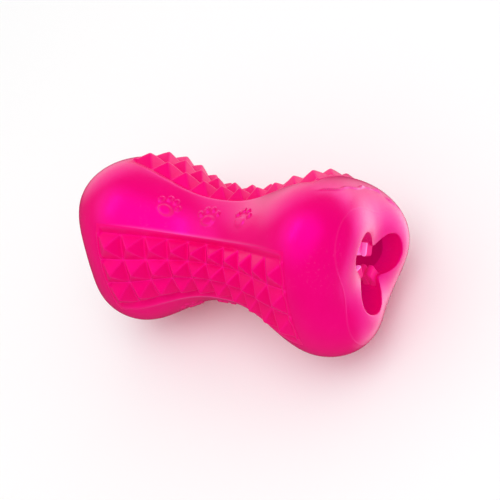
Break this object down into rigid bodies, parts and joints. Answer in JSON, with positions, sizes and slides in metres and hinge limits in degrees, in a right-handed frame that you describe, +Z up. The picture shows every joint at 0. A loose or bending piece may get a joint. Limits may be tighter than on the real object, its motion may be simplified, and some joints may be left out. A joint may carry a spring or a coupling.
{
  "type": "rubber treat chew toy",
  "caption": "Hollow rubber chew toy in the shape of a lobed bone, with sunk panels of pyramid studs and finned mouths that hold treats.",
  "frame": {"origin": "centre of the bounding box at its base, under the tips of the base studs", "axes": "+X along the toy towards its right end in the picture, +Z up through the middle of the top band, +Y to the back"},
  "size_m": [0.115, 0.0616, 0.0628],
  "materials": {
    "smooth_rubber": "glossy moulded hot pink rubber",
    "stud_rubber": "satin moulded hot pink rubber with crisp studs",
    "fin_rubber": "glossy soft pink rubber"
  },
  "bodies": {
    "shell": {"band_top": "smooth_rubber", "band_front": "smooth_rubber", "band_back": "smooth_rubber", "stud_panel_front": "stud_rubber", "stud_panel_base": "stud_rubber", "stud_panel_back": "stud_rubber", "shoulder_right": "smooth_rubber", "shoulder_left": "smooth_rubber", "mouth_ring_right": "smooth_rubber", "mouth_ring_left": "smooth_rubber"},
    "fin_right_front_outer": {"fin_right_front_outer": "fin_rubber"},
    "fin_right_front_inner": {"fin_right_front_inner": "fin_rubber"},
    "fin_right_base_outer": {"fin_right_base_outer": "fin_rubber"},
    "fin_right_base_inner": {"fin_right_base_inner": "fin_rubber"},
    "fin_right_back_outer": {"fin_right_back_outer": "fin_rubber"},
    "fin_right_back_inner": {"fin_right_back_inner": "fin_rubber"},
    "fin_left_front_outer": {"fin_left_front_outer": "fin_rubber"},
    "fin_left_front_inner": {"fin_left_front_inner": "fin_rubber"},
    "fin_left_base_outer": {"fin_left_base_outer": "fin_rubber"},
    "fin_left_base_inner": {"fin_left_base_inner": "fin_rubber"},
    "fin_left_back_outer": {"fin_left_back_outer": "fin_rubber"},
    "fin_left_back_inner": {"fin_left_back_inner": "fin_rubber"}
  },
  "joints": [
    {"name": "fin_right_front_outer_flex", "type": "hinge", "parent": "shell", "child": "fin_right_front_outer", "pos_m": [0.05191, -0.00684, 0.03442], "axis": [0, 0.5, 0.866], "range_deg": [-8, 30], "stiffness_Nm_per_rad": 0.01},
    {"name": "fin_right_front_inner_flex", "type": "hinge", "parent": "shell", "child": "fin_right_front_inner", "pos_m": [0.04911, -0.00684, 0.03442], "axis": [0, 0.5, 0.866], "range_deg": [-8, 30], "stiffness_Nm_per_rad": 0.01},
    {"name": "fin_right_base_outer_flex", "type": "hinge", "parent": "shell", "child": "fin_right_base_outer", "pos_m": [0.05191, 0, 0.02257], "axis": [0, -1, 0], "range_deg": [-8, 30], "stiffness_Nm_per_rad": 0.01},
    {"name": "fin_right_base_inner_flex", "type": "hinge", "parent": "shell", "child": "fin_right_base_inner", "pos_m": [0.04911, 0, 0.02257], "axis": [0, -1, 0], "range_deg": [-8, 30], "stiffness_Nm_per_rad": 0.01},
    {"name": "fin_right_back_outer_flex", "type": "hinge", "parent": "shell", "child": "fin_right_back_outer", "pos_m": [0.05191, 0.00684, 0.03442], "axis": [0, 0.5, -0.866], "range_deg": [-8, 30], "stiffness_Nm_per_rad": 0.01},
    {"name": "fin_right_back_inner_flex", "type": "hinge", "parent": "shell", "child": "fin_right_back_inner", "pos_m": [0.04911, 0.00684, 0.03442], "axis": [0, 0.5, -0.866], "range_deg": [-8, 30], "stiffness_Nm_per_rad": 0.01},
    {"name": "fin_left_front_outer_flex", "type": "hinge", "parent": "shell", "child": "fin_left_front_outer", "pos_m": [-0.05191, -0.00684, 0.03442], "axis": [0, -0.5, -0.866], "range_deg": [-8, 30], "stiffness_Nm_per_rad": 0.01},
    {"name": "fin_left_front_inner_flex", "type": "hinge", "parent": "shell", "child": "fin_left_front_inner", "pos_m": [-0.04911, -0.00684, 0.03442], "axis": [0, -0.5, -0.866], "range_deg": [-8, 30], "stiffness_Nm_per_rad": 0.01},
    {"name": "fin_left_base_outer_flex", "type": "hinge", "parent": "shell", "child": "fin_left_base_outer", "pos_m": [-0.05191, 0, 0.02257], "axis": [0, 1, 0], "range_deg": [-8, 30], "stiffness_Nm_per_rad": 0.01},
    {"name": "fin_left_base_inner_flex", "type": "hinge", "parent": "shell", "child": "fin_left_base_inner", "pos_m": [-0.04911, 0, 0.02257], "axis": [0, 1, 0], "range_deg": [-8, 30], "stiffness_Nm_per_rad": 0.01},
    {"name": "fin_left_back_outer_flex", "type": "hinge", "parent": "shell", "child": "fin_left_back_outer", "pos_m": [-0.05191, 0.00684, 0.03442], "axis": [0, -0.5, 0.866], "range_deg": [-8, 30], "stiffness_Nm_per_rad": 0.01},
    {"name": "fin_left_back_inner_flex", "type": "hinge", "parent": "shell", "child": "fin_left_back_inner", "pos_m": [-0.04911, 0.00684, 0.03442], "axis": [0, -0.5, 0.866], "range_deg": [-8, 30], "stiffness_Nm_per_rad": 0.01}
  ],
  "couplings": [
    {"joint": "fin_right_front_inner_flex", "follows": "fin_right_front_outer_flex", "ratio": 1},
    {"joint": "fin_right_base_inner_flex", "follows": "fin_right_base_outer_flex", "ratio": 1},
    {"joint": "fin_right_back_inner_flex", "follows": "fin_right_back_outer_flex", "ratio": 1},
    {"joint": "fin_left_front_inner_flex", "follows": "fin_left_front_outer_flex", "ratio": 1},
    {"joint": "fin_left_base_inner_flex", "follows": "fin_left_base_outer_flex", "ratio": 1},
    {"joint": "fin_left_back_inner_flex", "follows": "fin_left_back_outer_flex", "ratio": 1}
  ]
}
